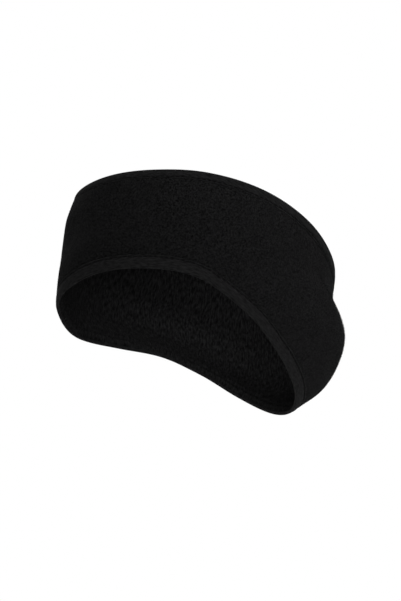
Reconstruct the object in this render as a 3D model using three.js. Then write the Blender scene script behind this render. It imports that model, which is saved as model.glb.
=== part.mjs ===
// Ear warmer headband: a ring of double fleece, low over the forehead, deep over the ears,
// tucked in under the ears and at the nape, with a folded binding sewn round each edge.
// Millimetres, +Z up. The forehead side is at -Y, the left ear side at +X, the nape at +Y.
// The origin is in the middle of the ring at its fullest, about 10 below the middle of the
// band's height over the ears.
import * as THREE from "three";

// The ring at its fullest, over the outer cloth
const RING_LENGTH = 196;
const RING_WIDTH = 154;

// The band's height over the ear, its upper edge at the forehead, and how far that edge
// runs down from there to the nape
const EAR_HEIGHT = 80;
const FOREHEAD_RIM = 56;
const RIM_DROP = 30;

// How far the cloth leaves an upright wall: tucked in at the lower edge, full over the ear,
// leaning in at the upper edge
const HEM_TUCK = 23;
const FULLNESS = 6;
const RIM_LEAN = 12;

// As worn, the band sits a little askew: each edge is higher by its twist before the left
// ear and behind the right one, and lower by as much on the other two quarters
const RIM_TWIST = 3.5;
const HEM_TWIST = 8;

// A dent behind the left ear, where the cloth buckles above its fullest part: its depth, its
// turn from the forehead and its level, a share of the height, with the reach of each
const DENT = { depth: 4, turn: 115, turnReach: 25, level: 0.8, levelReach: 0.15 };

// Cloth, loose between the bindings and pressed flat inside them
const SHELL_WALL = 1.2;
const LINING_WALL = 2.6;
const PRESSED_SHELL_WALL = 1;
const PRESSED_LINING_WALL = 1.2;
const BINDING_WALL = 1;
const GAP = 0.3;

// Bindings: how far each leg reaches from the folded edge, the inner one short, and the
// stretch past a leg over which the cloth swells back to its full thickness
const LOWER_OUTER_LEG = 8;
const LOWER_INNER_LEG = 3.5;
const UPPER_OUTER_LEG = 6.2;
const UPPER_INNER_LEG = 3.5;
const SWELL_REACH = 4;

// Fineness of the meshes
const TURN_STEPS = 64;
const WALL_STEPS = 11;
const FOLD_STEPS = 4;
const LENGTH_SAMPLES = 60;

const FLEECE_BLACK = 0x131313;
const PILE_BLACK = 0x101010;
const BINDING_BLACK = 0x191919;

// One row for each even turn from the forehead round to the nape, alike on both sides.
// drop: how far the upper edge is below its place at the forehead, a share of RIM_DROP
// height: from the lower edge to the upper one, a share of EAR_HEIGHT
// The rest say how far the cloth stands out, at even levels from hem to rim:
// hem is a share of HEM_TUCK, low, middle and high of FULLNESS, and rim of RIM_LEAN.
const SECTIONS = [
  { drop: 0.0, height: 0.77, hem: -0.1, low: 0.0, middle: -0.75, high: -0.6, rim: -0.7 },
  { drop: 0.0, height: 0.79, hem: -0.1, low: -0.2, middle: -0.7, high: -0.55, rim: -0.65 },
  { drop: -0.02, height: 0.83, hem: -0.2, low: -0.55, middle: -0.45, high: -0.5, rim: -0.5 },
  { drop: 0.05, height: 0.92, hem: -0.4, low: -0.5, middle: -0.25, high: -0.55, rim: -0.25 },
  { drop: 0.22, height: 0.91, hem: -0.85, low: -0.4, middle: -0.05, high: -0.6, rim: -0.2 },
  { drop: 0.45, height: 0.87, hem: -1.0, low: -0.35, middle: 0.35, high: -0.45, rim: -0.3 },
  { drop: 0.65, height: 0.89, hem: -0.9, low: -0.25, middle: 0.8, high: -0.3, rim: -0.45 },
  { drop: 0.9, height: 0.9, hem: -0.8, low: 0.2, middle: 0.75, high: -0.25, rim: -0.5 },
  { drop: 0.98, height: 0.91, hem: -0.75, low: 0.3, middle: 0.75, high: -0.25, rim: -0.55 },
];
const LEVELS = [
  { name: "hem", size: HEM_TUCK },
  { name: "low", size: FULLNESS },
  { name: "middle", size: FULLNESS },
  { name: "high", size: FULLNESS },
  { name: "rim", size: RIM_LEAN },
];

// Shape of the outer surface

// A smooth value through evenly spaced ones, with each slope taken from the two neighbours
function smoothValue(valueAt, place, count) {
  const first = Math.min(Math.floor(place), count - 2);
  const t = place - first;
  const slope = (i) => (valueAt(i + 1) - valueAt(i - 1)) / 2;
  return (
    valueAt(first) * (2 * t ** 3 - 3 * t ** 2 + 1) +
    valueAt(first + 1) * (3 * t ** 2 - 2 * t ** 3) +
    slope(first) * (t ** 3 - 2 * t ** 2 + t) +
    slope(first + 1) * (t ** 3 - t ** 2)
  );
}

// A turn of any size brought to between -180 and 180 degrees
function nearestTurn(turn) {
  return turn - 360 * Math.round(turn / 360);
}

// A column of the table at any turn; the rows carry on mirrored past the forehead and nape
function sectionValue(column, turn) {
  const last = SECTIONS.length - 1;
  const valueAt = (i) => SECTIONS[last - Math.abs(last - Math.abs(i))][column];
  return smoothValue(valueAt, (Math.abs(nearestTurn(turn)) / 180) * last, SECTIONS.length);
}

function dentDepth(turn, share) {
  const across = nearestTurn(turn - DENT.turn) / DENT.turnReach;
  const up = (share - DENT.level) / DENT.levelReach;
  return DENT.depth * Math.exp(-across * across - up * up);
}

// How far the cloth stands out from the upright oval, at a share of the height
function standsOut(turn, share) {
  const last = LEVELS.length - 1;
  const values = LEVELS.map((level) => level.size * sectionValue(level.name, turn));
  const valueAt = (i) => {
    if (i < 0) return 2 * values[0] - values[1];
    if (i > last) return 2 * values[last] - values[last - 1];
    return values[i];
  };
  return smoothValue(valueAt, share * last, LEVELS.length) - dentDepth(turn, share);
}

// A point of the outer surface at a turn round the ring and a share of the height
function surfacePoint(turn, share) {
  const angle = THREE.MathUtils.degToRad(turn);
  const sine = Math.sin(angle);
  const cosine = Math.cos(angle);
  const out = new THREE.Vector3(sine / RING_WIDTH, -cosine / RING_LENGTH, 0).normalize();
  const twist = Math.sin(2 * angle);
  const evenRim = FOREHEAD_RIM - RIM_DROP * sectionValue("drop", turn);
  const evenHem = evenRim - EAR_HEIGHT * sectionValue("height", turn);
  const rim = evenRim + RIM_TWIST * twist;
  const hem = evenHem + HEM_TWIST * twist;
  return new THREE.Vector3(
    (RING_WIDTH / 2) * sine,
    (-RING_LENGTH / 2) * cosine,
    hem + (rim - hem) * share,
  ).addScaledVector(out, standsOut(turn, share));
}

// Places measured along the wall and into it

const BOUND_THICKNESS = 2 * BINDING_WALL + 3 * GAP + PRESSED_SHELL_WALL + PRESSED_LINING_WALL;
const FOLD_RADIUS = BOUND_THICKNESS / 2;

// The wall at one turn: its length from fold to fold, and points given by their distance
// from the lower fold and their depth into the wall
function wallAt(turn) {
  const marks = [0];
  for (let i = 1; i <= LENGTH_SAMPLES; i += 1) {
    const here = surfacePoint(turn, i / LENGTH_SAMPLES);
    const before = surfacePoint(turn, (i - 1) / LENGTH_SAMPLES);
    marks.push(marks[i - 1] + here.distanceTo(before));
  }
  const length = marks[LENGTH_SAMPLES];

  function shareAt(distance) {
    let i = 1;
    while (i < LENGTH_SAMPLES && marks[i] < distance) i += 1;
    return (i - 1 + (distance - marks[i - 1]) / (marks[i] - marks[i - 1])) / LENGTH_SAMPLES;
  }

  // Near a fold the wall runs on straight, so that the fold is a true half round.
  function pointAt(distance, depth) {
    const onWall = THREE.MathUtils.clamp(distance, FOLD_RADIUS, length - FOLD_RADIUS);
    const share = shareAt(onWall);
    const step = 0.5 / LENGTH_SAMPLES;
    const up = surfacePoint(turn, share + step).sub(surfacePoint(turn, share - step)).normalize();
    const round = surfacePoint(turn + 1, share).sub(surfacePoint(turn - 1, share)).normalize();
    const outward = new THREE.Vector3().crossVectors(round, up).normalize();
    return surfacePoint(turn, share)
      .addScaledVector(up, distance - onWall)
      .addScaledVector(outward, -depth);
  }

  return { length, pointAt };
}

// 1 inside a binding's legs, falling to 0 where the cloth has swelled back
function pressed(distance, length, lowerLeg, upperLeg) {
  const past = Math.min(distance - lowerLeg, length - upperLeg - distance);
  return 1 - THREE.MathUtils.clamp(past / SWELL_REACH, 0, 1);
}

// Distances along the wall: from inside one binding, past its leg, up to the other one
function wallDistances(length, lowerLeg, upperLeg) {
  const low = lowerLeg + SWELL_REACH;
  const high = length - upperLeg - SWELL_REACH;
  const between = [];
  for (let i = 0; i <= WALL_STEPS; i += 1) {
    between.push(low + ((high - low) * i) / WALL_STEPS);
  }
  return [FOLD_RADIUS, lowerLeg, ...between, length - upperLeg, length - FOLD_RADIUS];
}

// Sections, each a closed outline of [distance, depth] pairs, run anticlockwise seen from
// the side of lower turns

function layerSection(length, outerLegs, outerDepth, innerLegs, innerDepth) {
  const outer = wallDistances(length, ...outerLegs).map((distance) => [
    distance,
    outerDepth(pressed(distance, length, ...outerLegs)),
  ]);
  const inner = wallDistances(length, ...innerLegs).map((distance) => [
    distance,
    innerDepth(pressed(distance, length, ...innerLegs)),
  ]);
  return [...outer, ...inner.reverse()];
}

const OUTER_LEGS = [LOWER_OUTER_LEG, UPPER_OUTER_LEG];
const INNER_LEGS = [LOWER_INNER_LEG, UPPER_INNER_LEG];
const shellFace = (press) => press * (BINDING_WALL + GAP);
const shellBack = (press) =>
  shellFace(press) + THREE.MathUtils.lerp(SHELL_WALL, PRESSED_SHELL_WALL, press);
const liningBack = (press) => shellBack(press) + GAP;
const liningFace = (press) =>
  liningBack(press) + THREE.MathUtils.lerp(LINING_WALL, PRESSED_LINING_WALL, press);

function shellSection(length) {
  return layerSection(length, OUTER_LEGS, shellFace, OUTER_LEGS, shellBack);
}

function liningSection(length) {
  return layerSection(length, OUTER_LEGS, liningBack, INNER_LEGS, liningFace);
}

// Half a turn about the fold's centre, from the inner side to the outer one
function foldArc(radius) {
  const arc = [];
  for (let i = 0; i <= FOLD_STEPS; i += 1) {
    const angle = Math.PI * (1 - i / FOLD_STEPS);
    arc.push([FOLD_RADIUS - radius * Math.sin(angle), FOLD_RADIUS - radius * Math.cos(angle)]);
  }
  return arc;
}

// A strip folded over the edge: down its inner leg, round the fold, up its outer leg,
// and back along its inside
function bindingOutline(outerLeg, innerLeg) {
  return [
    [innerLeg, BOUND_THICKNESS],
    ...foldArc(FOLD_RADIUS),
    [outerLeg, 0],
    [outerLeg, BINDING_WALL],
    ...foldArc(FOLD_RADIUS - BINDING_WALL).reverse(),
    [innerLeg, BOUND_THICKNESS - BINDING_WALL],
  ];
}

function lowerBindingSection() {
  return bindingOutline(LOWER_OUTER_LEG, LOWER_INNER_LEG);
}

function upperBindingSection(length) {
  const outline = bindingOutline(UPPER_OUTER_LEG, UPPER_INNER_LEG);
  return outline.map(([distance, depth]) => [length - distance, depth]).reverse();
}

// Pieces

// A closed ring: the section at each turn, joined to the next all the way round. Every face
// is split along the diagonal that rises with the turn, so that layers lie parallel.
function ringGeometry(sectionOf) {
  const positions = [];
  const faces = [];
  let section = [];
  for (let i = 0; i < TURN_STEPS; i += 1) {
    const wall = wallAt((360 * i) / TURN_STEPS);
    section = sectionOf(wall.length);
    for (const [distance, depth] of section) {
      positions.push(...wall.pointAt(distance, depth));
    }
  }
  const count = section.length;
  for (let i = 0; i < TURN_STEPS; i += 1) {
    const here = i * count;
    const next = ((i + 1) % TURN_STEPS) * count;
    for (let j = 0; j < count; j += 1) {
      const k = (j + 1) % count;
      if (section[j][0] < section[k][0]) {
        faces.push(here + j, next + j, next + k, here + j, next + k, here + k);
      } else {
        faces.push(here + j, next + j, here + k, next + j, next + k, here + k);
      }
    }
  }
  const geometry = new THREE.BufferGeometry();
  geometry.setAttribute("position", new THREE.Float32BufferAttribute(positions, 3));
  geometry.setIndex(faces);
  geometry.computeVertexNormals();
  return geometry;
}

function clothRing(name, sectionOf, color, roughness) {
  const material = new THREE.MeshStandardMaterial({ color, roughness, metalness: 0 });
  const mesh = new THREE.Mesh(ringGeometry(sectionOf), material);
  mesh.name = name;
  return mesh;
}

const headband = new THREE.Group();
headband.add(clothRing("outer_shell", shellSection, FLEECE_BLACK, 0.95));
headband.add(clothRing("fleece_lining", liningSection, PILE_BLACK, 1));
headband.add(clothRing("lower_binding", lowerBindingSection, BINDING_BLACK, 0.85));
headband.add(clothRing("upper_binding", upperBindingSection, BINDING_BLACK, 0.85));

export default headband;
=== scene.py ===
"""Ear warmer headband: a ring of black double fleece with a bound edge above and below.

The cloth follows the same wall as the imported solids, in millimetres until a mesh is made:
a turn round the ring, a distance up the wall from the lower fold and a depth into it.
"""
import math

import bpy
import numpy as np
from mathutils import Matrix, Vector


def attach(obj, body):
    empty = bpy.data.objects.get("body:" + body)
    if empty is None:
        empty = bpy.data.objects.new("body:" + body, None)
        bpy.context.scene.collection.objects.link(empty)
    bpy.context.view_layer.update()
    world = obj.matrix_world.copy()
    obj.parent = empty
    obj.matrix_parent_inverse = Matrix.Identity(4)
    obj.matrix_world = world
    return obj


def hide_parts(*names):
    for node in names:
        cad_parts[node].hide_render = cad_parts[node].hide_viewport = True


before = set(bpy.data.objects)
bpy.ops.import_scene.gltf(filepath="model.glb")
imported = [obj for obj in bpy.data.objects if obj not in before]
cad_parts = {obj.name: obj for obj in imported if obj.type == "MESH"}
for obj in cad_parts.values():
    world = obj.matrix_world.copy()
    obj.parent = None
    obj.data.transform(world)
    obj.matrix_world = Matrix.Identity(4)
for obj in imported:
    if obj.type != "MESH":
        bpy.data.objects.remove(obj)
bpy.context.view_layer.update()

MM = 0.001

# The ring and its cloth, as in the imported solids
RING_LENGTH = 196
RING_WIDTH = 154
EAR_HEIGHT = 80
FOREHEAD_RIM = 56
RIM_DROP = 30
HEM_TUCK = 23
FULLNESS = 6
RIM_LEAN = 12
RIM_TWIST = 3.5
HEM_TWIST = 8
DENT_DEPTH = 4
DENT_TURN = 115
DENT_TURN_REACH = 25
DENT_LEVEL = 0.8
DENT_LEVEL_REACH = 0.15
SHELL_WALL = 1.2
LINING_WALL = 2.6
LOWER_OUTER_LEG = 8
UPPER_OUTER_LEG = 6.2

# About how far it is round the ring at its fullest, in all and for each degree, and round a
# bound edge
RING_ROUND = 550
MM_PER_DEGREE = 1.5
EDGE_ROUND = 450

# At the edges the cloth is thinner than the solids' walls: it is pressed hard by the stitch
# line, and the strip is a thin knit whose inner leg is short
PRESSED_SHELL_WALL = 0.3
PRESSED_LINING_WALL = 0.45
BINDING_WALL = 0.45
GAP = 0.04
INNER_LEG = 2.0
STITCH_PITCH = 2.7
STITCH_INSET = 1.2
STITCH_COUNT = round(EDGE_ROUND / STITCH_PITCH)
BOUND_THICKNESS = 2 * BINDING_WALL + 3 * GAP + PRESSED_SHELL_WALL + PRESSED_LINING_WALL
FOLD_RADIUS = BOUND_THICKNESS / 2

# One row for each 22.5 degrees from the forehead to the nape: drop, height, hem, low, middle,
# high and rim, as shares of the sizes above
SECTIONS = np.array([
    [0.0, 0.77, -0.1, 0.0, -0.75, -0.6, -0.7],
    [0.0, 0.79, -0.1, -0.2, -0.7, -0.55, -0.65],
    [-0.02, 0.83, -0.2, -0.55, -0.45, -0.5, -0.5],
    [0.05, 0.92, -0.4, -0.5, -0.25, -0.55, -0.25],
    [0.22, 0.91, -0.85, -0.4, -0.05, -0.6, -0.2],
    [0.45, 0.87, -1.0, -0.35, 0.35, -0.45, -0.3],
    [0.65, 0.89, -0.9, -0.25, 0.8, -0.3, -0.45],
    [0.9, 0.9, -0.8, 0.2, 0.75, -0.25, -0.5],
    [0.98, 0.91, -0.75, 0.3, 0.75, -0.25, -0.55],
])
ALL_ROUND = np.concatenate([SECTIONS, SECTIONS[-2:0:-1]])
DROP_COLUMN = 0
HEIGHT_COLUMN = 1
FIRST_LEVEL_COLUMN = 2
LEVEL_SIZES = [HEM_TUCK, FULLNESS, FULLNESS, FULLNESS, RIM_LEAN]

# Triangle budget: how many steps each piece takes round the ring and up the wall
SHEET_TURNS = 720
SHEET_FACE_STEPS = 120
SHEET_BACK_STEPS = 12
STRIP_TURNS = 960


# The wall's shape

def hermite(before, first, second, after, t):
    """A smooth value between first and second, with slopes from their neighbours."""
    return (
        first * (2 * t**3 - 3 * t**2 + 1)
        + second * (3 * t**2 - 2 * t**3)
        + (second - before) / 2 * (t**3 - 2 * t**2 + t)
        + (after - first) / 2 * (t**3 - t**2)
    )


def section_value(column, turn):
    """A column of the sections table at any turn, in degrees from the forehead."""
    count = len(ALL_ROUND)
    place = (turn % 360) / 360 * count
    first = np.floor(place).astype(int)
    values = ALL_ROUND[:, column]
    return hermite(
        values[(first - 1) % count],
        values[first % count],
        values[(first + 1) % count],
        values[(first + 2) % count],
        place - first,
    )


def nearest_turn(turn):
    """The same turn between -180 and 180."""
    return (turn + 180) % 360 - 180


def stands_out(turn, share):
    """How far the cloth stands out of the even oval, at a share of the way up the wall."""
    turn, share = np.broadcast_arrays(turn, share)
    levels = [
        size * section_value(FIRST_LEVEL_COLUMN + i, turn) for i, size in enumerate(LEVEL_SIZES)
    ]
    levels = [2 * levels[0] - levels[1], *levels, 2 * levels[-1] - levels[-2]]
    levels = np.stack(levels)
    place = share * (len(LEVEL_SIZES) - 1)
    first = np.clip(np.floor(place).astype(int), 0, len(LEVEL_SIZES) - 2)
    picked = [np.take_along_axis(levels, (first + k)[None], 0)[0] for k in range(4)]
    across = nearest_turn(turn - DENT_TURN) / DENT_TURN_REACH
    up = (share - DENT_LEVEL) / DENT_LEVEL_REACH
    return hermite(*picked, place - first) - DENT_DEPTH * np.exp(-across**2 - up**2)


def surface(turn, share):
    """Points of the cloth's outer surface."""
    turn, share = np.broadcast_arrays(turn, share)
    angle = np.radians(turn)
    sine, cosine = np.sin(angle), np.cos(angle)
    out = np.stack([sine / RING_WIDTH, -cosine / RING_LENGTH], -1)
    out /= np.linalg.norm(out, axis=-1, keepdims=True)
    twist = np.sin(2 * angle)
    even_rim = FOREHEAD_RIM - RIM_DROP * section_value(DROP_COLUMN, turn)
    rim = even_rim + RIM_TWIST * twist
    hem = even_rim - EAR_HEIGHT * section_value(HEIGHT_COLUMN, turn) + HEM_TWIST * twist
    off = stands_out(turn, share)
    return np.stack([
        RING_WIDTH / 2 * sine + out[..., 0] * off,
        -RING_LENGTH / 2 * cosine + out[..., 1] * off,
        hem + (rim - hem) * share,
    ], -1)


class Wall:
    """The wall at a list of turns, with places given by distance and depth."""

    SAMPLES = 60
    HALF_STEP_ROUND = 1

    def __init__(self, turns):
        self.turns = np.asarray(turns, float)
        self.shares = np.linspace(0, 1, self.SAMPLES + 1)
        grid = surface(self.turns[:, None], self.shares[None])
        steps = np.linalg.norm(np.diff(grid, axis=1), axis=-1)
        start = np.zeros((len(self.turns), 1))
        self.marks = np.concatenate([start, np.cumsum(steps, 1)], 1)
        self.length = self.marks[:, -1:]

    def frame_at(self, distance):
        """Where a distance is on the outer surface, and the directions up, round and out."""
        on_wall = np.clip(distance, FOLD_RADIUS, self.length - FOLD_RADIUS)
        share = np.stack([
            np.interp(row, marks, self.shares) for row, marks in zip(on_wall, self.marks)
        ])
        turn = self.turns[:, None]
        half_up = 0.5 / self.SAMPLES
        half_round = self.HALF_STEP_ROUND
        up = surface(turn, share + half_up) - surface(turn, share - half_up)
        around = surface(turn + half_round, share) - surface(turn - half_round, share)
        up /= np.linalg.norm(up, axis=-1, keepdims=True)
        around /= np.linalg.norm(around, axis=-1, keepdims=True)
        out = np.cross(around, up)
        out /= np.linalg.norm(out, axis=-1, keepdims=True)
        place = surface(turn, share) + up * (distance - on_wall)[..., None]
        return place, up, around, out

    def points(self, distance, depth):
        place, _, _, out = self.frame_at(distance)
        return place - out * depth[..., None]


# Relief, made from seeded noise that closes round the ring. Its draws start RELIEF_BELOW
# under the lower fold and cover RELIEF_SPAN up the wall.

RELIEF_DRAW = 1.7
RELIEF_BELOW = 20
RELIEF_SPAN = 140
RELIEF_SPARE_ROWS = 8
RELIEF_FEWEST_CELLS = 4


def spline_weights(t):
    return [
        (1 - t) ** 3 / 6,
        (3 * t**3 - 6 * t**2 + 4) / 6,
        (-3 * t**3 + 3 * t**2 + 3 * t + 1) / 6,
        t**3 / 6,
    ]


def relief(turn, distance, along, up, seed):
    """Soft noise of about -1 to 1, its bumps along mm wide round the ring and up mm high."""
    turn, distance = np.broadcast_arrays(turn, distance)
    cells = max(RELIEF_FEWEST_CELLS, round(RING_ROUND / along))
    rows = int(RELIEF_SPAN / up) + RELIEF_SPARE_ROWS
    draws = np.random.default_rng(seed).uniform(-RELIEF_DRAW, RELIEF_DRAW, (cells, rows))
    u = (turn % 360) / 360 * cells
    v = (distance + RELIEF_BELOW) / up
    i, j = np.floor(u).astype(int), np.floor(v).astype(int)
    across, upward = spline_weights(u - i), spline_weights(v - j)
    total = np.zeros(u.shape)
    for a in range(4):
        for b in range(4):
            picked = draws[(i + a) % cells, np.clip(j + b, 0, rows - 1)]
            total += across[a] * upward[b] * picked
    return total


def layered_relief(turn, distance, layers):
    """Reliefs added up, each layer a height, a width along, a width up and a seed."""
    return sum(
        height * relief(turn, distance, along, up, seed) for height, along, up, seed in layers
    )


def bump(value, centre, reach):
    return np.exp(-(((value - centre) / reach) ** 2))


def ease(value):
    t = np.clip(value, 0, 1)
    return t * t * (3 - 2 * t)


def nape_seam(turn, width):
    """1 on the seam at the nape, where the ring of cloth is joined, fading to 0 beside it."""
    return bump(nearest_turn(turn - 180) * MM_PER_DEGREE, 0, width)


# Meshes

def new_object(name, points, faces, uv=None):
    points = np.asarray(points, float).reshape(-1, 3) * MM
    faces = np.asarray(faces, np.int32)
    corners = faces.shape[1]
    mesh = bpy.data.meshes.new(name)
    mesh.vertices.add(len(points))
    mesh.vertices.foreach_set("co", points.ravel())
    mesh.loops.add(faces.size)
    mesh.loops.foreach_set("vertex_index", faces.ravel())
    mesh.polygons.add(len(faces))
    mesh.polygons.foreach_set("loop_start", np.arange(len(faces), dtype=np.int32) * corners)
    mesh.polygons.foreach_set("use_smooth", np.ones(len(faces), bool))
    mesh.update(calc_edges=True)
    if uv is not None:
        layer = mesh.uv_layers.new(name="wall")
        layer.data.foreach_set("uv", np.asarray(uv, float).ravel())
    mesh.validate()
    piece = bpy.data.objects.new(name, mesh)
    bpy.context.scene.collection.objects.link(piece)
    return piece


def ring_object(name, points, distance):
    """A closed ring from a section at each turn; its UV is metres round and up the wall."""
    count, width = points.shape[:2]
    i = np.arange(count)[:, None]
    j = np.arange(width)[None]
    i2, j2 = (i + 1) % count, (j + 1) % width
    faces = np.stack([i * width + j, i2 * width + j, i2 * width + j2, i * width + j2], -1)
    round_here = np.broadcast_to(i / count * RING_ROUND * MM, faces.shape[:2])
    round_next = np.broadcast_to((i + 1) / count * RING_ROUND * MM, faces.shape[:2])
    up_here = distance[:, j[0]] * MM
    up_next = distance[:, j2[0]] * MM
    uv = np.stack([
        np.stack([round_here, up_here], -1),
        np.stack([round_next, up_here], -1),
        np.stack([round_next, up_next], -1),
        np.stack([round_here, up_next], -1),
    ], -2)
    return new_object(name, points, faces.reshape(-1, 4), uv.reshape(-1, 2))


def all_turns(count):
    """Even turns all round, from the seam at the nape."""
    return 180 + np.arange(count) * 360 / count


# Camera: the photograph's view, a little from below and from the left ear's side

CAMERA_AZIMUTH = 39.3
CAMERA_ELEVATION = -13.33
CAMERA_ROLL = 7.18
CAMERA_RIGHT = 1.7
CAMERA_UP = 4.5
CAMERA_DISTANCE = 1300
PIXELS_PER_MM = 1.676
PHOTO_HEIGHT = 601
SENSOR = 36
NEAREST_SEEN = 0.05
FARTHEST_SEEN = 50


def add_camera():
    """Adds the camera and returns the directions right, up and back of its view."""
    azimuth, elevation, roll = (
        math.radians(x) for x in (CAMERA_AZIMUTH, CAMERA_ELEVATION, CAMERA_ROLL)
    )
    back = Vector((
        math.sin(azimuth) * math.cos(elevation),
        -math.cos(azimuth) * math.cos(elevation),
        math.sin(elevation),
    ))
    level = Vector((math.cos(azimuth), math.sin(azimuth), 0))
    upright = back.cross(level)
    right = math.cos(roll) * level + math.sin(roll) * upright
    up = -math.sin(roll) * level + math.cos(roll) * upright
    target = right * CAMERA_RIGHT + up * CAMERA_UP
    data = bpy.data.cameras.new("camera")
    data.sensor_fit = "VERTICAL"
    data.sensor_height = SENSOR
    data.lens = SENSOR * PIXELS_PER_MM * CAMERA_DISTANCE / PHOTO_HEIGHT
    data.clip_start = NEAREST_SEEN
    data.clip_end = FARTHEST_SEEN
    camera = bpy.data.objects.new("camera", data)
    camera.matrix_world = Matrix.Translation((target + back * CAMERA_DISTANCE) * MM) @ Matrix(
        (right, up, back)
    ).transposed().to_4x4()
    bpy.context.scene.collection.objects.link(camera)
    bpy.context.scene.camera = camera
    return right, up, back


view_right, view_up, view_back = add_camera()


# Materials

# Painted light and shade over the band: the distance its changes are given over, and the lowest
# and highest it may scale the tone
PAINTED_LIGHT_REACH = 80 * MM
PAINTED_LIGHT_LOWEST = 0.5
PAINTED_LIGHT_HIGHEST = 1.7
# No painted light or shade
NO_PAINTED_LIGHT = (0.0, 0.0, 0.0, 0.0, 0.0)
GRAIN_DARK_PLACE = 0.38
GRAIN_LIGHT_PLACE = 0.62
BLUE_SHARE = 1.02


def noise(nodes, links, vector, scale, detail, roughness):
    node = nodes.new("ShaderNodeTexNoise")
    node.inputs["Scale"].default_value = scale
    node.inputs["Detail"].default_value = detail
    node.inputs["Roughness"].default_value = roughness
    links.new(vector, node.inputs["Vector"])
    return node.outputs[0]


def mapped(nodes, links, vector, scale):
    node = nodes.new("ShaderNodeMapping")
    node.inputs["Scale"].default_value = scale
    links.new(vector, node.inputs["Vector"])
    return node.outputs["Vector"]


def blend_values(nodes, links, first, second, share):
    """first and second added, second with a share of first's weight."""
    node = nodes.new("ShaderNodeMath")
    node.operation = "MULTIPLY_ADD"
    node.inputs[1].default_value = share
    links.new(second, node.inputs[0])
    links.new(first, node.inputs[2])
    return node.outputs[0]


def math_result(nodes, operation, first, second):
    """A math node's result of two values, each a number or another node's output."""
    node = nodes.new("ShaderNodeMath")
    node.operation = operation
    for value, socket in zip((first, second), node.inputs):
        if isinstance(value, float):
            socket.default_value = value
        else:
            node.id_data.links.new(value, socket)
    return node.outputs[0]


def painted_light_and_shade(nodes, links, space, painted_light):
    """Painted light and shade: a tone factor, lighter or darker across the band where the lamps
    light the cloth more or less. Its third argument holds the change over the reach along x, y
    and z, and with z squared and y times z."""
    along = nodes.new("ShaderNodeVectorMath")
    along.operation = "DOT_PRODUCT"
    along.inputs[1].default_value = [value / PAINTED_LIGHT_REACH for value in painted_light[:3]]
    links.new(space, along.inputs[0])
    parts = nodes.new("ShaderNodeSeparateXYZ")
    links.new(space, parts.inputs[0])
    _, y, z = parts.outputs
    total = math_result(nodes, "ADD", along.outputs["Value"], 1.0)
    for first, second, change in ((z, z, painted_light[3]), (y, z, painted_light[4])):
        product = math_result(nodes, "MULTIPLY", first, second)
        product = math_result(nodes, "MULTIPLY", product, change / PAINTED_LIGHT_REACH**2)
        total = math_result(nodes, "ADD", total, product)
    total = math_result(nodes, "MINIMUM", total, PAINTED_LIGHT_HIGHEST)
    return math_result(nodes, "MAXIMUM", total, PAINTED_LIGHT_LOWEST)


def grey(value):
    return (value, value, value * BLUE_SHARE, 1)


def cloth_material(name, tone, spread, gloss, sheen, painted_light, bump_mm, bump_strength, grain):
    """spread: the dark and light ends of the grain, as shares of the tone. grain(nodes,
    links, object_space, wall_space) gives the height and the tone's place between them."""
    material = bpy.data.materials.new(name)
    material.use_nodes = True
    nodes, links = material.node_tree.nodes, material.node_tree.links
    shader = nodes["Principled BSDF"]
    shader.inputs["Roughness"].default_value = 1
    shader.inputs["Specular IOR Level"].default_value = gloss
    shader.inputs["Sheen Weight"].default_value = sheen
    shader.inputs["Sheen Roughness"].default_value = 0.5
    shader.inputs["Sheen Tint"].default_value = (0.5, 0.5, 0.5, 1)
    coordinates = nodes.new("ShaderNodeTexCoord")
    space, wall = coordinates.outputs["Object"], coordinates.outputs["UV"]
    height, place = grain(nodes, links, space, wall)
    ramp = nodes.new("ShaderNodeValToRGB")
    dark, light = ramp.color_ramp.elements
    dark.position = GRAIN_DARK_PLACE
    dark.color = grey(tone * spread[0])
    light.position = GRAIN_LIGHT_PLACE
    light.color = grey(tone * spread[1])
    links.new(place, ramp.inputs["Fac"])
    scaled = nodes.new("ShaderNodeVectorMath")
    scaled.operation = "SCALE"
    links.new(ramp.outputs["Color"], scaled.inputs[0])
    # The grain's tone is scaled by painted light and shade across the band
    links.new(painted_light_and_shade(nodes, links, space, painted_light), scaled.inputs["Scale"])
    links.new(scaled.outputs["Vector"], shader.inputs["Base Color"])
    relief_node = nodes.new("ShaderNodeBump")
    relief_node.inputs["Distance"].default_value = bump_mm * MM
    relief_node.inputs["Strength"].default_value = bump_strength
    links.new(height, relief_node.inputs["Height"])
    links.new(relief_node.outputs["Normal"], shader.inputs["Normal"])
    return material


def fleece_grain(nodes, links, space, wall):
    fine = noise(nodes, links, space, scale=900, detail=4, roughness=0.65)
    loose = noise(nodes, links, space, scale=420, detail=3, roughness=0.6)
    height = blend_values(nodes, links, fine, loose, share=0.6)
    return height, noise(nodes, links, space, scale=1100, detail=4, roughness=0.75)


def pile_grain(nodes, links, space, wall):
    streaks = mapped(nodes, links, wall, scale=(900, 260, 1))
    tufts = mapped(nodes, links, wall, scale=(420, 190, 1))
    fine = noise(nodes, links, streaks, scale=1, detail=4, roughness=0.65)
    loose = noise(nodes, links, tufts, scale=1, detail=3, roughness=0.6)
    return blend_values(nodes, links, fine, loose, share=1.0), fine


def strip_grain(nodes, links, space, wall):
    ribs = mapped(nodes, links, wall, scale=(1400, 900, 1))
    fine = noise(nodes, links, ribs, scale=1, detail=3, roughness=0.5)
    loose = noise(nodes, links, space, scale=300, detail=2, roughness=0.5)
    height = blend_values(nodes, links, fine, loose, share=0.6)
    threads = mapped(nodes, links, wall, scale=(240, 1500, 1))
    return height, noise(nodes, links, threads, scale=1, detail=4, roughness=0.7)


# In each cloth below, the five changes given after the sheen are painted light and shade: the
# tone lighter or darker across the band as the lamps light it
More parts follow.
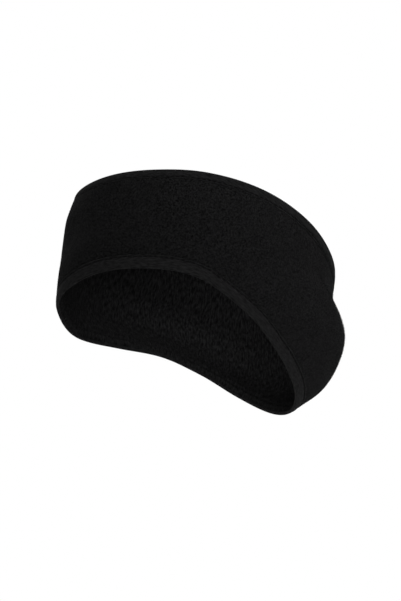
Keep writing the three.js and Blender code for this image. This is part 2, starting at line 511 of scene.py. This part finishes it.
shell_fleece = cloth_material(
    "shell_fleece", tone=0.0044, spread=(0.1, 1.9), gloss=0.010, sheen=0.006,
    painted_light=(0.0, 0.4, 0.3, 0.0, 0.0), bump_mm=0.8, bump_strength=0.8, grain=fleece_grain,
)
brushed_lining = cloth_material(
    "brushed_lining", tone=0.0055, spread=(0.25, 1.75), gloss=0.006, sheen=0.0,
    painted_light=(0.0, 0.35, -0.4, -1.8, 0.5), bump_mm=1.2, bump_strength=0.8, grain=pile_grain,
)
binding_strip = cloth_material(
    "binding_strip", tone=0.0040, spread=(0.3, 1.9), gloss=0.040, sheen=0.0,
    painted_light=(0.15, 0.25, 0.1, 0.0, 0.0), bump_mm=0.12, bump_strength=0.5, grain=strip_grain,
)
# The thread is black; its tone is set darker than the strip's, partly painted shade standing in
# for the stitch groove's shadow
thread = cloth_material(
    "thread", tone=0.0022, spread=(0.8, 1.3), gloss=0.010, sheen=0.0,
    painted_light=NO_PAINTED_LIGHT, bump_mm=0.05, bump_strength=0.5, grain=strip_grain,
)


# Layers of cloth

SWELL_BEFORE = 0.5
SWELL_SPAN = 1.5
LINING_SWELL_SPAN = 3
STITCH_DIP = 0.3
STITCH_DIP_REACH = 0.9

# Rows of height, width along, width up and seed
SHELL_RELIEF = (
    (0.10, 2.4, 2.4, 12),
    (0.16, 7, 6, 13),
    (0.30, 34, 20, 14),
)
LINING_RELIEF = (
    (0.22, 2.0, 5.5, 21),
    (0.20, 4.5, 4.5, 22),
    (0.25, 12, 16, 23),
)
PUCKER_HEIGHT = 0.28
PUCKER_LEVEL = 10
PUCKER_REACH = 5
SEAM_DEPTH = 0.5
SEAM_WIDTH = 0.9


def past_strips(distance, length):
    """How far a place is past the nearer strip's outer leg, below 0 under the strip."""
    return np.minimum(distance - LOWER_OUTER_LEG, length - UPPER_OUTER_LEG - distance)


def pressed(distance, length):
    """1 under the strips' outer legs, 0 just past their edges, where the fleece swells up."""
    return 1 - ease((past_strips(distance, length) + SWELL_BEFORE) / SWELL_SPAN)


def shell_face(press):
    return press * (BINDING_WALL + GAP)


def shell_back(press):
    return shell_face(press) + SHELL_WALL + press * (PRESSED_SHELL_WALL - SHELL_WALL)


def lining_back(press):
    return shell_back(press) + GAP


def swelling(distance, stitch_line):
    """How far the lining has swelled back, with a shallow dip along the stitch line."""
    dip = STITCH_DIP * bump(distance, stitch_line, STITCH_DIP_REACH)
    return ease((distance - INNER_LEG) / LINING_SWELL_SPAN) * (1 - dip)


def lining_face(distance, length):
    """The depth of the lining's inner face, and how loose its pile is there."""
    loose = np.minimum(
        swelling(distance, LOWER_OUTER_LEG - STITCH_INSET),
        swelling(length - distance, UPPER_OUTER_LEG - STITCH_INSET),
    )
    back = lining_back(pressed(distance, length))
    return back + PRESSED_LINING_WALL + loose * (LINING_WALL - PRESSED_LINING_WALL), loose


def edge_share(distance, length, reach):
    """1 at the strips' edges, fading to 0 over a few times the reach."""
    return np.exp(-np.clip(past_strips(distance, length), 0, None) / reach)


def layer_distances(length, count):
    return FOLD_RADIUS + (length - 2 * FOLD_RADIUS) * np.linspace(0, 1, count)[None]


def build_shell():
    turns = all_turns(SHEET_TURNS)
    wall = Wall(turns)
    turn = turns[:, None]
    outer = layer_distances(wall.length, SHEET_FACE_STEPS)
    inner = layer_distances(wall.length, SHEET_BACK_STEPS)[:, ::-1]
    press = pressed(outer, wall.length)
    pucker = relief(turn, np.full_like(outer, PUCKER_LEVEL), along=7, up=30, seed=11)
    lift = (
        layered_relief(turn, outer, SHELL_RELIEF)
        + PUCKER_HEIGHT * pucker * edge_share(outer, wall.length, PUCKER_REACH)
        - SEAM_DEPTH * nape_seam(turn, SEAM_WIDTH)
    ) * (1 - press)
    depth = np.concatenate([
        shell_face(press) - lift,
        shell_back(pressed(inner, wall.length)),
    ], 1)
    distance = np.concatenate([outer, inner], 1)
    return ring_object("shell", wall.points(distance, depth), distance)


def build_lining():
    turns = all_turns(SHEET_TURNS)
    wall = Wall(turns)
    outer = layer_distances(wall.length, SHEET_BACK_STEPS)
    inner = layer_distances(wall.length, SHEET_FACE_STEPS)[:, ::-1]
    face, loose = lining_face(inner, wall.length)
    depth = np.concatenate([
        lining_back(pressed(outer, wall.length)),
        face + layered_relief(turns[:, None], inner, LINING_RELIEF) * loose,
    ], 1)
    distance = np.concatenate([outer, inner], 1)
    return ring_object("lining", wall.points(distance, depth), distance)


# Bindings: a strip folded over each edge, with a stitch line that sinks into its outer leg

LEG_STEP = 0.28
LIP = 0.15
TUCK = 0.2
TUCK_ROUNDING = 0.05
FOLD_STEPS = 14
INNER_FOLD_STEPS = 6
PUFF_HEIGHT = 0.25
PUFF_PLACE = 0.55
PUFF_REACH = 0.3
PUFF_CHANGE = 0.6
PUFF_LEVEL = 5
GROOVE_DEPTH = 0.45
GROOVE_BEAT = 0.35
GROOVE_REACH = 0.45
RIDGE_HEIGHT = 0.26
RIDGE_INSET = 0.4
RIDGE_REACH = 0.35
KNIT_HEIGHT = 0.05
KNIT_WIDTH = 2.2


def fold_arc(radius, steps, start, end):
    """Places between the ends of a half circle about the fold's middle, ends left out."""
    for i in range(1, steps):
        angle = start + (end - start) * i / steps
        yield FOLD_RADIUS - radius * math.sin(angle), FOLD_RADIUS - radius * math.cos(angle), 0


def leg_face(leg, depth, on_outer):
    """Places along a leg's face, from the fold to just short of the leg's edge."""
    count = max(2, int((leg - FOLD_RADIUS) / LEG_STEP))
    for i in range(count):
        yield FOLD_RADIUS + (leg - FOLD_RADIUS) * i / count, depth, on_outer
    yield leg - LIP, depth, on_outer


def binding_section(outer_leg, inner_leg):
    """The strip's outline at rest: distance, depth, and 1 on the outer leg's face or 0."""
    inner_back = BOUND_THICKNESS - BINDING_WALL
    return np.array([
        *reversed(list(leg_face(inner_leg, BOUND_THICKNESS, 0))),
        *fold_arc(FOLD_RADIUS, FOLD_STEPS, math.pi, 0),
        *leg_face(outer_leg, 0, 1),
        (outer_leg, LIP, 0),
        (outer_leg, BINDING_WALL - TUCK_ROUNDING, 0),
        (outer_leg - TUCK, BINDING_WALL, 0),
        (FOLD_RADIUS, BINDING_WALL, 0),
        *fold_arc(FOLD_RADIUS - BINDING_WALL, INNER_FOLD_STEPS, 0, math.pi),
        (FOLD_RADIUS, inner_back, 0),
        (inner_leg - TUCK, inner_back, 0),
        (inner_leg, inner_back + TUCK_ROUNDING, 0),
        (inner_leg, BOUND_THICKNESS - LIP, 0),
    ])


def build_binding(name, outer_leg, inner_leg, upper, seed):
    turns = all_turns(STRIP_TURNS)
    wall = Wall(turns)
    turn = turns[:, None]
    outline = binding_section(outer_leg, inner_leg)
    if upper:
        outline = outline[::-1]
    run, rest_depth, on_outer = outline.T[:, None]
    line = outer_leg - STITCH_INSET
    beat = 0.5 + 0.5 * np.cos(np.radians(turn) * STITCH_COUNT)
    shallow = relief(turn, np.full_like(run, PUFF_LEVEL), along=8, up=30, seed=seed)
    puff = PUFF_HEIGHT * bump(run, line * PUFF_PLACE, line * PUFF_REACH)
    puff = puff * (1 + PUFF_CHANGE * shallow)
    groove = (GROOVE_DEPTH + GROOVE_BEAT * beat) * bump(run, line, GROOVE_REACH)
    ridge = RIDGE_HEIGHT * bump(run, outer_leg - RIDGE_INSET, RIDGE_REACH)
    knit = KNIT_HEIGHT * relief(turn, run, along=KNIT_WIDTH, up=KNIT_WIDTH, seed=seed + 1)
    depth = rest_depth - on_outer * (puff - groove + ridge + knit)
    distance = np.broadcast_to(run, depth.shape)
    if upper:
        distance = wall.length - distance
    return ring_object(name, wall.points(distance, depth), distance)


# The stitch lines' thread

THREAD_RINGS = 7
THREAD_SIDES = 6
THREAD_RADIUS = 0.22
THREAD_TIP = 0.02
HALF_STITCH = 0.40
OUTER_THREAD_DEPTH = 0.30
THREAD_ARCH = 0.22
THREAD_SINK = 0.15


def thread_faces(stitch_count):
    """The walls between a stitch's rings, and two quads that close each of its ends."""
    base = np.arange(stitch_count)[:, None] * THREAD_RINGS * THREAD_SIDES
    faces = []
    for i in range(THREAD_RINGS - 1):
        low, high = i * THREAD_SIDES, (i + 1) * THREAD_SIDES
        for j in range(THREAD_SIDES):
            j2 = (j + 1) % THREAD_SIDES
            faces.append(base + [low + j, high + j, high + j2, low + j2])
    last = (THREAD_RINGS - 1) * THREAD_SIDES
    for start, order in (
        (0, (0, 1, 2, 3)), (0, (0, 3, 4, 5)), (last, (3, 2, 1, 0)), (last, (5, 4, 3, 0)),
    ):
        faces.append(base + [start + k for k in order])
    return np.concatenate(faces)


def build_stitches(name, outer_leg, upper):
    """The thread of the stitch line: short runs that dive into the cloth at both ends."""
    t = np.linspace(-1, 1, THREAD_RINGS)
    pitch = 360 / STITCH_COUNT
    centres = 180 + (np.arange(STITCH_COUNT) + 0.5) * pitch
    turns = (centres[:, None] + HALF_STITCH * pitch * t[None]).ravel()
    wall = Wall(turns)
    distance = np.full((len(turns), 1), outer_leg - STITCH_INSET)
    if upper:
        distance = wall.length - distance
    inner_face = lining_face(distance, wall.length)[0][:, 0]
    place, up, _, out = (x[:, 0] for x in wall.frame_at(distance))
    arch = np.tile(1 - np.abs(t) ** 3, STITCH_COUNT)
    taper = np.sqrt(np.clip(1 - np.abs(t) ** 6, THREAD_TIP, 1))
    radius = np.tile(THREAD_RADIUS * taper, STITCH_COUNT)
    ring_angle = np.arange(THREAD_SIDES) / THREAD_SIDES * 2 * math.pi
    offsets = (
        up[:, None] * np.cos(ring_angle)[None, :, None]
        + out[:, None] * np.sin(ring_angle)[None, :, None]
    )
    both_faces = []
    for sign, depth in ((1, OUTER_THREAD_DEPTH), (-1, inner_face)):
        lift = sign * (arch * THREAD_ARCH - THREAD_SINK)
        centre = place - out * (depth - lift)[:, None]
        both_faces.append(centre[:, None] + offsets * radius[:, None, None])
    points = np.concatenate(both_faces)
    return new_object(name, points, thread_faces(2 * STITCH_COUNT))


# Pile

PILE_SPAN = 86
PILE_MARGIN = 0.8
PILE_ROOT = 0.25
PILE_SHORTEST = 0.5
PILE_PRESSED = 0.6
LEAN_SCATTER = 0.6
LEAN_ROUND = 0.6
TUFT_ROUND = 6
TUFT_UP = 9


def build_pile(name, seed, spacing, height, lean, width, inside):
    """Loose fibres standing out of the cloth: thin closed spikes that lean up or down."""
    rng = np.random.default_rng(seed)
    columns = round(RING_ROUND / spacing)
    rows = round(PILE_SPAN / spacing)
    turns = 180 + (np.arange(columns) + rng.uniform(-0.5, 0.5, columns)) * 360 / columns
    wall = Wall(turns)
    low_leg, high_leg = (INNER_LEG, INNER_LEG) if inside else (LOWER_OUTER_LEG, UPPER_OUTER_LEG)
    low, high = low_leg + PILE_MARGIN, wall.length - high_leg - PILE_MARGIN
    share = (np.arange(rows)[None] + rng.uniform(0, 1, (columns, rows))) / rows
    distance = low + (high - low) * share
    place, up, around, out = wall.frame_at(distance)
    if inside:
        face, loose = lining_face(distance, wall.length)
        depth = face + layered_relief(turns[:, None], distance, LINING_RELIEF) * loose
        normal, press = -out, 1 - loose
    else:
        press = pressed(distance, wall.length)
        depth = shell_face(press)
        normal = out
    root = place - out * depth[..., None] - normal * PILE_ROOT
    tall = height * rng.uniform(PILE_SHORTEST, 1.0, distance.shape) * (1 - PILE_PRESSED * press)
    tuft = relief(turns[:, None], distance, along=TUFT_ROUND, up=TUFT_UP, seed=seed + 1)
    lean_up = lean * (tuft + rng.uniform(-LEAN_SCATTER, LEAN_SCATTER, distance.shape))
    lean_round = lean * LEAN_ROUND * rng.uniform(-1, 1, distance.shape)
    tip = (
        root
        + normal * (tall + PILE_ROOT)[..., None]
        + up * (lean_up * tall)[..., None]
        + around * (lean_round * tall)[..., None]
    )
    spin = rng.uniform(0, 2 * math.pi, distance.shape)
    corners = []
    for k in range(3):
        angle = spin + k * 2 * math.pi / 3
        corners.append(
            root + (around * np.cos(angle)[..., None] + up * np.sin(angle)[..., None]) * width
        )
    points = np.stack([*corners, tip], -2).reshape(-1, 4, 3)
    base = np.arange(len(points))[:, None] * 4
    order = ((0, 1, 3), (1, 2, 3), (2, 0, 3), (2, 1, 0))
    faces = np.concatenate([base + list(o) for o in order])
    return new_object(name, points, faces)


shell = build_shell()
lining = build_lining()
lower_strip = build_binding("lower_strip", LOWER_OUTER_LEG, INNER_LEG, upper=False, seed=31)
upper_strip = build_binding("upper_strip", UPPER_OUTER_LEG, INNER_LEG, upper=True, seed=41)
lower_stitches = build_stitches("lower_stitches", LOWER_OUTER_LEG, upper=False)
upper_stitches = build_stitches("upper_stitches", UPPER_OUTER_LEG, upper=True)
lining_pile = build_pile(
    "lining_pile", seed=51, spacing=1.1, height=1.5, lean=1.2, width=0.15, inside=True,
)
shell_pile = build_pile(
    "shell_pile", seed=61, spacing=1.1, height=0.45, lean=0.8, width=0.13, inside=False,
)

for piece, material, slot_name in (
    (shell, shell_fleece, "shell_fleece"),
    (shell_pile, shell_fleece, "shell_fleece"),
    (lining, brushed_lining, "brushed_lining"),
    (lining_pile, brushed_lining, "brushed_lining"),
    (lower_strip, binding_strip, "binding_strip"),
    (upper_strip, binding_strip, "binding_strip"),
    (lower_stitches, thread, "binding_strip"),
    (upper_stitches, thread, "binding_strip"),
):
    piece.data.materials.append(material)
    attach(piece, "root")

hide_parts("outer_shell")
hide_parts("fleece_lining")
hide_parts("lower_binding")
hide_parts("upper_binding")


# Stage: a pale floor well below the band, which is held up, and soft light

FLOOR_LEVEL = -0.34
FLOOR_HALF = 6
FLOOR_GREY = 0.82


def add_floor():
    mesh = bpy.data.meshes.new("floor")
    half = FLOOR_HALF
    corners = [(-half, -half), (half, -half), (half, half), (-half, half)]
    mesh.from_pydata([(x, y, FLOOR_LEVEL) for x, y in corners], [], [(0, 1, 2, 3)])
    floor = bpy.data.objects.new("floor", mesh)
    bpy.context.scene.collection.objects.link(floor)
    material = bpy.data.materials.new("floor")
    material.use_nodes = True
    shader = material.node_tree.nodes["Principled BSDF"]
    shader.inputs["Base Color"].default_value = (FLOOR_GREY, FLOOR_GREY, FLOOR_GREY, 1)
    shader.inputs["Roughness"].default_value = 0.9
    mesh.materials.append(material)


def add_light(name, right, up, back, size, power):
    """A square light at a place in the view's directions, in metres, turned to the band."""
    place = view_right * right + view_up * up + view_back * back
    data = bpy.data.lights.new(name, "AREA")
    data.size = size
    data.energy = power
    light = bpy.data.objects.new(name, data)
    light.location = place
    light.rotation_euler = (-place).to_track_quat("-Z", "Y").to_euler()
    bpy.context.scene.collection.objects.link(light)


def add_world():
    world = bpy.data.worlds.new("studio")
    world.use_nodes = True
    background = world.node_tree.nodes["Background"]
    background.inputs["Color"].default_value = (1, 1, 1, 1)
    background.inputs["Strength"].default_value = 1
    bpy.context.scene.world = world


add_floor()
add_light("front", right=0, up=0, back=1.6, size=0.8, power=30)
add_light("front_top", right=0.2, up=1.1, back=1.1, size=0.8, power=5)
add_light("right_top", right=1.1, up=0.9, back=0.7, size=0.8, power=5)
add_light("back_top", right=0.3, up=1.2, back=-1.0, size=0.8, power=15)
add_world()
bpy.context.scene.view_settings.view_transform = "Standard"
bpy.context.scene.view_settings.look = "None"

bpy.context.view_layer.update()
